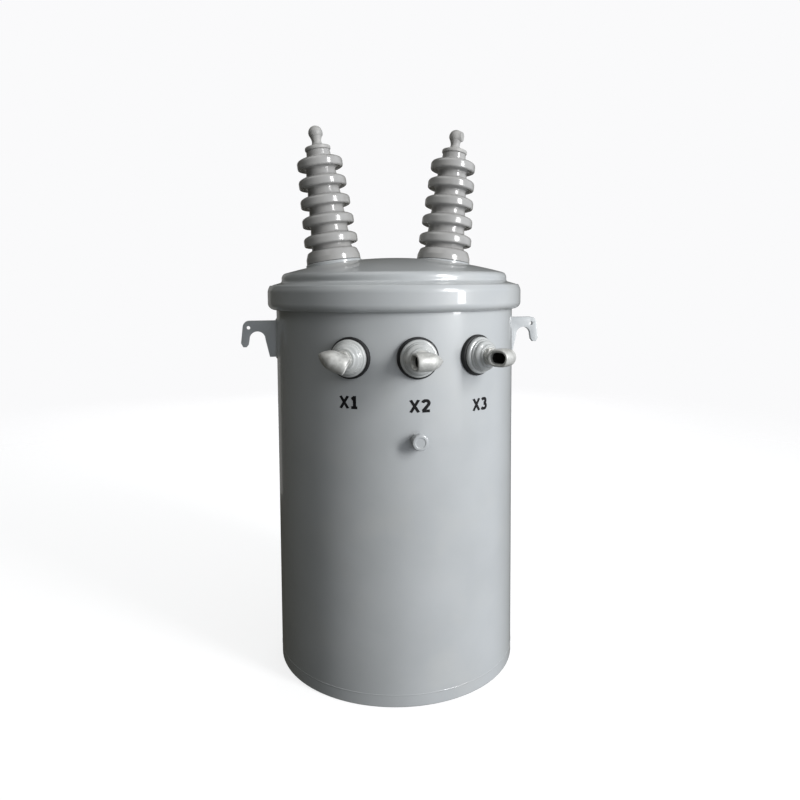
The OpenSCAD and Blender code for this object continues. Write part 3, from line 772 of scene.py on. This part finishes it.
lowBushing = {
    "nutMiddle": 3.5,       # from the porcelain's front to the middle of the nut
    "gasketRadius": 30.8,
    "gasketRound": 2.2,
    "gasketBack": -2.8,     # hidden behind the tank's side
    "flangeRadius": 27.6,
    "flangeThick": 7.0,
    "bodyRadius": 22.5,
    "bodyLength": 14.5,
    "shank": 16.8,          # the part that goes through the tank's side
    "shankLength": 20.0,
    "sealBore": 17.3,
    "bore": 7.3,
}
lowStud = {
    "radius": 7.0,
    "acrossFlats": 24.0,
    "washer": 1.8,
    "washerRadius": 13.4,
    "nut": 5.2,
    "nutBore": 6.6,
    "pitch": 1.6,
    "buried": 8.0,      # of the rod, inside the porcelain
    "intoEye": 3.0,
}
lowEye = {
    "start": 10.0,      # from the porcelain's front, past the washer and nut
    "slotHeight": 15.4,
    "slotLength": 23.0,
    "wall": 5.4,
    "open": 17.0,
    "closed": 5.0,
    "depth": 9.0,       # of the slot's blind end, past the eye's middle
    "beak": 21.0,
    "tip": 0.6,
    "tipSteps": 8,
    "rim": 2.2,         # height of the rounded rim round the open end
    "rimSteps": 6,
    "pinch": 0.5,       # how much the slot narrows at its blind end
    "around": 72,
    "turn": {1: 14, 2: -10, 3: -14},
    "roll": {1: 155, 2: 0, 3: 0},
}


def stadium(radius, half, z):  # a round-ended outline with its long side along X
    ring = []
    for step in range(lowEye["around"]):
        angle = math.tau * step / lowEye["around"]
        across = math.cos(angle)
        ring.append((radius * across + math.copysign(half, across) * min(1, abs(across) * 6),
                     radius * math.sin(angle), z))
    return ring


def makeEye(number, place, front):
    shape = lowEye
    slotR = shape["slotHeight"] / 2
    half = (shape["slotLength"] - shape["slotHeight"]) / 2
    outerR = slotR + shape["wall"]
    middle = front + shape["start"] + half + outerR
    eyePlace = (place @ turn("Z", shape["roll"][number]) @ move(0, 0, middle)
                @ turn("X", shape["turn"][number]) @ turn("Y", 90) @ turn("X", 90))
    openEnd, closedEnd = shape["open"], -shape["closed"]
    tipEnd, tip, rim = closedEnd - shape["beak"], shape["tip"], shape["rim"]
    rings = []
    for step in range(shape["tipSteps"] + 1):  # beak, from its tip
        share = step / shape["tipSteps"]
        size = math.sin(share * math.pi / 2) ** 0.75
        z = tipEnd + (closedEnd - tipEnd) * (1 - (1 - share) ** 1.15)
        rings.append(stadium(tip + (outerR - tip) * size, half * size, z))
    for share in (0.25, 0.5, 0.75):
        rings.append(stadium(outerR, half, closedEnd + (openEnd - closedEnd) * share))
    for step in range(shape["rimSteps"] + 1):  # rounded rim, outside to inside
        angle = math.pi * step / shape["rimSteps"]
        lip = shape["wall"] / 2 - 0.6
        rings.append(stadium(slotR + shape["wall"] / 2 + lip * math.cos(angle), half,
                             openEnd - rim + rim * math.sin(angle)))
    inside = len(rings)
    for share in (0.3, 0.7, 1.0):
        rings.append(stadium(slotR, half, openEnd - 2 - (openEnd - 3) * share))
    for share in (0.25, 0.5, 0.75, 1.0):  # the slot narrows as it runs into the beak
        rings.append(stadium(slotR * (1 - shape["pinch"] * share), half * (1 - share),
                             -shape["depth"] * share))
    eye = skin("lv_eye_%d" % number, rings, eyePlace)
    keep(eye, tinnedBronze, ["lv_terminal_%d" % number])
    eye.data.materials.append(slotShadeBronze)  # painted shade: the slot's inside gets a dark metal colour to stand for the shade in its hollow
    for face in list(eye.data.polygons)[inside * shape["around"]:]:
        if len(face.vertices) == 4 or face.index == len(eye.data.polygons) - 1:
            face.material_index = 1


def makeLowBushing(number):
    shape, stud = lowBushing, lowStud
    point = middleOf("lv_nut_%d" % number)
    place = standingOut(compass("lv_nut_%d" % number), point.z)
    front = math.hypot(point.x, point.y) - shape["nutMiddle"]
    back = front - shape["bodyLength"]
    flangeBack = back - shape["flangeThick"]
    sealBack = tank["radius"] + shape["gasketBack"]
    gasket = rounded([(shape["sealBore"], sealBack), (shape["gasketRadius"], sealBack),
                      (shape["gasketRadius"], flangeBack, shape["gasketRound"]),
                      (shape["sealBore"], flangeBack)])
    keep(turned("lv_seal_%d" % number, gasket, place, steps=128), blackRubber,
         ["lv_gasket_%d" % number])
    flangeR, bodyR, shankEnd = shape["flangeRadius"], shape["bodyRadius"], flangeBack - shape["shankLength"]
    porcelain = rounded([
        (shape["bore"], shankEnd), (shape["shank"], shankEnd),
        (shape["shank"], flangeBack), (flangeR, flangeBack, 1.2), (flangeR, back - 1, 3),
        (bodyR + 1.6, back, 1.5), (bodyR + 1.2, back + 3, 1.5), (bodyR - 0.3, back + 3.6, 1.2),
        (bodyR, front - 5.5, 3.5), (bodyR - 5, front - 2.6, 2.5), (bodyR - 6.2, front, 1.0),
        (shape["bore"], front)], arcSteps=7)
    keep(turned("lv_porcelain_%d" % number, porcelain, place, steps=144), paleGlaze,
         ["lv_bushing_%d" % number])
    washer = rounded([(stud["radius"], front), (stud["washerRadius"], front, 0.5),
                      (stud["washerRadius"], front + stud["washer"], 0.5),
                      (stud["radius"], front + stud["washer"])], arcSteps=3)
    keep(turned("lv_washer_%d" % number, washer, place, steps=96), tinnedBronze)
    nut = hexNut("lv_hex_%d" % number, place @ move(0, 0, front + stud["washer"]), stud["acrossFlats"],
                 stud["nut"], stud["nutBore"])
    keep(nut, tinnedBronze, ["lv_nut_%d" % number])
    makeEye(number, place, front)
    rod = threadedRod("lv_stud_%d" % number, place @ move(0, 0, front - stud["buried"]), stud["radius"],
                      stud["buried"] + lowEye["start"] + stud["intoEye"], stud["pitch"])
    keep(rod, tinnedBronze)


for number in (1, 2, 3):
    makeLowBushing(number)
print("low-voltage bushings made")

# terminal marks

markShape = {
    "height": 19.4,     # of a capital letter
    "stroke": 4.8,
    "widen": 1.13,
    "space": 1.6,       # between the two characters
    "thickness": 0.35,
    "sink": 0.6,        # of the paint's back, into the wall
    "slice": 1.5,       # width of the slices that bend round the tank
    "places": {         # angle from the middle, and height
        "X1": (-29.7, 460.5),
        "X2": (0.9, 455.5),
        "X3": (30.6, 450.5),
    },
}


def arc(x, y, across, tall, first, last, steps=14):  # part of an oval, as points
    return [(x + across * math.cos(math.radians(first + (last - first) * step / steps)),
             y + tall * math.sin(math.radians(first + (last - first) * step / steps)))
            for step in range(steps + 1)]


strokes = {  # centre lines of each character; the height is 1, and the first number is its width
    "X": (0.74, [[(0.10, 0.0), (0.64, 1.0)], [(0.10, 1.0), (0.64, 0.0)]]),
    "1": (0.50, [[(0.10, 0.74), (0.32, 0.90)], [(0.30, 1.0), (0.30, 0.0)], [(0.06, 0.09), (0.50, 0.09)]]),
    "2": (0.66, [arc(0.32, 0.69, 0.22, 0.215, 165, -20) + [(0.12, 0.11)], [(0.08, 0.095), (0.60, 0.095)]]),
    "3": (0.64, [arc(0.29, 0.715, 0.20, 0.19, 150, -90), arc(0.29, 0.30, 0.235, 0.21, 90, -155)]),
}


def strokeShapes(text, shape):  # one flat outline for each short run of each stroke
    half = shape["stroke"] / 2
    height = shape["height"]
    left, runs = 0.0, []
    for letter in text:
        width, lines = strokes[letter]
        for line in lines:
            run = [Vector((left + x * height * shape["widen"], y * height)) for x, y in line]
            sides = []
            for index, point in enumerate(run):
                way = (run[min(index + 1, len(run) - 1)] - run[max(index - 1, 0)]).normalized()
                sides.append((point + Vector((-way.y, way.x)) * half, point - Vector((-way.y, way.x)) * half))
            runs += [(a[0], a[1], b[1], b[0]) for a, b in zip(sides, sides[1:])]
        left += width * height * shape["widen"] + shape["space"]
    middle = (left - shape["space"]) / 2
    return [[Vector((point.x - middle, min(max(point.y, 0), height) - height / 2)) for point in run]
            for run in runs]


def makeMark(text, shape):
    points, faces = [], []
    for run in strokeShapes(text, shape):
        faces.append(tuple(range(len(points), len(points) + len(run))))
        points += run
    flat = geometry.delaunay_2d_cdt(points, [], faces, 1, 0.001)  # strokes that cross become one shape
    work = bmesh.new()
    corners = [work.verts.new((point.x, point.y, 0)) for point in flat[0]]
    for face in flat[2]:
        work.faces.new([corners[index] for index in face])
    bmesh.ops.recalc_face_normals(work, faces=work.faces)
    lowX, highX = min(v.co.x for v in work.verts), max(v.co.x for v in work.verts)
    cuts = int((highX - lowX) / shape["slice"])
    for cut in range(1, cuts):  # thin slices, so that the letters bend round the tank
        bmesh.ops.bisect_plane(work, geom=work.verts[:] + work.edges[:] + work.faces[:],
                               plane_co=(lowX + (highX - lowX) * cut / cuts, 0, 0), plane_no=(1, 0, 0))
    grown = bmesh.ops.extrude_face_region(work, geom=work.faces[:])
    for vertex in (item for item in grown["geom"] if isinstance(item, bmesh.types.BMVert)):
        vertex.co.z = 1
    angle, z = shape["places"][text]
    for vertex in work.verts:
        bend = math.radians(angle - 90) + vertex.co.x / tank["radius"]
        out = tank["radius"] + (shape["thickness"] if vertex.co.z > 0.5 else -shape["sink"])
        vertex.co = Vector((out * math.cos(bend), out * math.sin(bend), z + vertex.co.y)) * mm
    bmesh.ops.recalc_face_normals(work, faces=work.faces)
    mesh = bpy.data.meshes.new("mark_" + text)
    work.to_mesh(mesh)
    work.free()
    mark = bpy.data.objects.new("mark_" + text, mesh)
    bpy.context.scene.collection.objects.link(mark)
    keep(mark, blackPaint)


for text in markShape["places"]:
    makeMark(text, markShape)
print("marks painted")


# relief valve

valveShape = {
    "boss": 9.5,
    "bossSink": 3.0,      # into the tank's wall
    "cap": 12.3,
    "capLength": 12.0,
    "groove": 0.9,
    "steps": 96,
}


def makeValve(shape):
    low, high = boxOf("relief_valve")
    place = standingOut(compass("relief_valve"), (low.z + high.z) / 2)
    start, r = -high.y, shape["cap"]
    bossR, bossBack = shape["boss"], tank["radius"] - shape["bossSink"]
    boss = rounded([(0, bossBack), (bossR + 3, bossBack), (bossR + 0.6, tank["radius"] + 1.2, 1.5),
                    (bossR, start, 0.5), (0, start)])
    keep(turned("valve_boss", boss, place, steps=shape["steps"]), tankPaint, ["relief_boss"])
    end = start + shape["capLength"]
    cap = rounded([
        (0, start), (r, start, 1.2), (r, start + 4, 0.5), (r - shape["groove"], start + 4.6, 0.4),
        (r - shape["groove"], start + 5.6, 0.4), (r, start + 6.2, 0.5), (r, end - 0.4, 2.4),
        (r - 4.5, end, 1.0), (r - 5.2, end - 0.8, 0.6), (0, end - 0.8)], arcSteps=5)
    keep(turned("valve_cap", cap, place, steps=shape["steps"]), tankPaint, ["relief_valve"])


makeValve(valveShape)


# lifting lugs, hanger brackets, ground boss and plate

lugShape = {
    "edge": 1.4,
    "height": 61.0,
    "weld": 3.0,
    "weldSink": 0.6,
}
hangerShape = {
    "edge": 1.0,
    "weld": 3.2,
    "weldSink": 0.4,
    "weldShort": 1.0,     # how far the bead stops inside each end
}
smallParts = {
    "bossEdge": 0.7,
    "holderEdge": 0.7,
    "plateEdge": 0.5,
}


def makeLug(side, shape):
    node = "lifting_lug_" + side
    keep(softEdged(node, shape["edge"]), tankPaint, [node])
    away, wallAngle = (-1, 180) if side == "left" else (1, 0)
    top = boxOf(node)[1]
    inset = math.degrees(math.asin(top.y / tank["radius"]))  # half the plate's thickness, seen from the axis
    bottom = top.z - shape["height"]
    corners = [onWall(wallAngle + inset * across, z, -shape["weldSink"]) for across, z in
               ((1, bottom), (1, top.z), (-1, top.z), (-1, bottom))]
    bead = weldBead("lug_weld_" + side, along(corners, closed=True), shape["weld"], closed=True, seed=away)
    keep(bead, tankPaint)


def makeHanger(level, shape):
    node = "hanger_bracket_" + level
    keep(softEdged(node, shape["edge"]), tankPaint, [node])
    low, high = boxOf(node)
    for side, x in (("left", low.x), ("right", high.x)):
        angle = math.degrees(math.acos(x / tank["radius"]))
        run = [onWall(angle, low.z + shape["weldShort"], -shape["weldSink"]),
               onWall(angle, high.z - shape["weldShort"], -shape["weldSink"])]
        bead = weldBead("hanger_weld_%s_%s" % (level, side), along(run), shape["weld"], seed=low.z + x)
        keep(bead, tankPaint)


for side in ("left", "right"):
    makeLug(side, lugShape)
for level in ("upper", "lower"):
    makeHanger(level, hangerShape)
keep(softEdged("ground_boss", smallParts["bossEdge"]), tinnedBronze, ["ground_boss"])
keep(softEdged("plate_holder", smallParts["holderEdge"]), tankPaint, ["plate_holder"])
keep(softEdged("rating_plate", smallParts["plateEdge"]), brushedPlate, ["rating_plate"])
print("lugs, brackets and plate made")


# camera, floor and lights

cameraView = {
    "distance": 1206.0,
    "height": 632.0,
    "azimuth": -9.7,
    "down": 4.08,
    "roll": -0.40,
    "lens": 31.5,
    "sensor": 36.0,
    "shift": (0.0071, -0.0816),
    "sees": (0.05, 60.0),     # metres, nearest and furthest
}


def makeCamera(shape):
    data = bpy.data.cameras.new("camera")
    data.lens = shape["lens"]
    data.sensor_width = shape["sensor"]
    data.shift_x, data.shift_y = shape["shift"]
    data.clip_start, data.clip_end = shape["sees"]
    camera = bpy.data.objects.new("camera", data)
    angle, distance = math.radians(shape["azimuth"]), shape["distance"]
    spot = Vector((math.sin(angle) * distance, -math.cos(angle) * distance, shape["height"]))
    camera.matrix_world = (Matrix.Translation(spot * mm) @ turn("Z", shape["azimuth"])
                           @ turn("X", 90 - shape["down"]) @ turn("Z", shape["roll"]))
    bpy.context.scene.collection.objects.link(camera)
    bpy.context.scene.camera = camera


makeCamera(cameraView)

floorShape = {
    "radius": 3.2,            # metres
    "solid": 1.1,             # metres; past this it fades out towards its edge
    "around": 96,
    "drop": 0.4,              # below the tank's foot
    "colour": srgb(150, 151, 152),
    "roughness": 0.9,
    "glow": 0.78,             # keeps the shadow on the floor faint
    "seen": srgb(250, 250, 251),      # what shows past the floor's edge
}


def makeFloor(shape):
    around, radius = shape["around"], shape["radius"] / mm
    points = [(0, 0, 0)]
    points += [(radius * math.cos(math.tau * step / around), radius * math.sin(math.tau * step / around), 0)
               for step in range(around)]
    faces = [(0, 1 + step, 1 + (step + 1) % around) for step in range(around)]
    floor = meshPiece("floor", points, faces, move(0, 0, -shape["drop"]))
    material = bpy.data.materials.new("floor")
    material.use_nodes = True
    nodes, links = material.node_tree.nodes, material.node_tree.links
    shader = nodes["Principled BSDF"]
    shader.inputs["Base Color"].default_value = shape["colour"]
    shader.inputs["Roughness"].default_value = shape["roughness"]
    shader.inputs["Emission Color"].default_value = (1, 1, 1, 1)
    shader.inputs["Emission Strength"].default_value = shape["glow"]
    place = nodes.new("ShaderNodeTexCoord")
    reach = nodes.new("ShaderNodeVectorMath")
    reach.operation = "LENGTH"
    links.new(place.outputs["Object"], reach.inputs[0])
    fade = nodes.new("ShaderNodeMapRange")
    fade.interpolation_type = "SMOOTHSTEP"
    fade.inputs["From Min"].default_value = shape["solid"]
    fade.inputs["From Max"].default_value = shape["radius"]
    links.new(reach.outputs["Value"], fade.inputs["Value"])
    clear = nodes.new("ShaderNodeBsdfTransparent")
    mix = nodes.new("ShaderNodeMixShader")
    links.new(fade.outputs["Result"], mix.inputs["Fac"])
    links.new(shader.outputs["BSDF"], mix.inputs[1])
    links.new(clear.outputs["BSDF"], mix.inputs[2])
    links.new(mix.outputs["Shader"], nodes["Material Output"].inputs["Surface"])
    floor.data.materials.append(material)
    floor.visible_diffuse = False
    floor.visible_glossy = False


makeFloor(floorShape)

room = {  # each tone with where it stands on the way from the dark side to the bright one
    "dark": (0.3, srgb(54, 52, 44)),
    "middle": (0.6, srgb(128, 129, 126)),
    "bright": (0.88, srgb(203, 208, 217)),
    "brightSide": 62,         # degrees to the camera's right
    "brightHeight": 5,
    "strength": 0.88,
}


def towards(degrees, height=0.0):  # a direction seen from the tank, from the camera round to its right
    angle = math.radians(cameraView["azimuth"] + degrees)
    flat = Vector((math.sin(angle), -math.cos(angle), 0))
    return flat * math.cos(math.radians(height)) + Vector((0, 0, math.sin(math.radians(height))))


def makeRoom(shape):
    world = bpy.data.worlds.new("room")
    world.use_nodes = True
    bpy.context.scene.world = world
    nodes, links = world.node_tree.nodes, world.node_tree.links
    way = nodes.new("ShaderNodeTexCoord")
    facing = nodes.new("ShaderNodeVectorMath")
    facing.operation = "DOT_PRODUCT"
    facing.inputs[1].default_value = towards(shape["brightSide"], shape["brightHeight"])
    links.new(way.outputs["Generated"], facing.inputs[0])
    spread = nodes.new("ShaderNodeMapRange")
    spread.inputs["From Min"].default_value = -1.0
    links.new(facing.outputs["Value"], spread.inputs["Value"])
    blend = nodes.new("ShaderNodeValToRGB")
    blend.color_ramp.interpolation = "EASE"
    stops = blend.color_ramp.elements
    stops[0].position, stops[0].color = shape["dark"]
    stops[1].position, stops[1].color = shape["bright"]
    stops.new(shape["middle"][0]).color = shape["middle"][1]
    links.new(spread.outputs["Result"], blend.inputs["Fac"])
    light = nodes["Background"]
    light.inputs["Strength"].default_value = shape["strength"]
    links.new(blend.outputs["Color"], light.inputs["Color"])
    seen = nodes.new("ShaderNodeBackground")
    seen.inputs["Color"].default_value = floorShape["seen"]
    rays = nodes.new("ShaderNodeLightPath")
    mix = nodes.new("ShaderNodeMixShader")
    links.new(rays.outputs["Is Camera Ray"], mix.inputs["Fac"])
    links.new(light.outputs["Background"], mix.inputs[1])
    links.new(seen.outputs["Background"], mix.inputs[2])
    links.new(mix.outputs["Shader"], nodes["World Output"].inputs["Surface"])


makeRoom(room)

lamps = {  # degrees to the camera's right, degrees up, metres away, width, height, watts
    "key": (51, 23, 3.0, 0.5, 1.5, 62),
    "fill": (44, 2, 3.4, 2.4, 1.6, 9),
    "overhead": (-60, 70, 2.6, 2.4, 2.4, 17),
    "window_tall": (58, 7.5, 3.2, 0.42, 0.62, 13),
    "window_high": (47, 17, 3.2, 0.75, 0.28, 11),
    "strip_far": (-150, 4, 3.0, 0.9, 2.4, 1.5),
    "behind": (178, 3, 3.2, 1.8, 1.6, 75),
    "behind_side": (-148, 3, 3.2, 1.0, 1.6, 14),
}
softLamps = ("behind", "behind_side")  # these give no reflection of their own
lampAim = 0.6  # height they point at, as a part of the tank's


def makeLamps(shapes):
    aim = Vector((0, 0, tank["flangeTop"] * lampAim * mm))
    for name, (angle, height, distance, width, tall, watts) in shapes.items():
        data = bpy.data.lights.new(name, "AREA")
        data.shape = "RECTANGLE"
        data.size, data.size_y = width, tall
        data.energy = watts
        lamp = bpy.data.objects.new(name, data)
        way = towards(angle, height)
        lamp.location = aim + way * distance
        lamp.rotation_mode = "QUATERNION"
        lamp.rotation_quaternion = (-way).to_track_quat("-Z", "Y")
        lamp.visible_camera = False
        lamp.visible_glossy = name not in softLamps
        bpy.context.scene.collection.objects.link(lamp)


makeLamps(lamps)
bpy.context.scene.view_settings.view_transform = "Standard"
print("camera, floor and lights set")
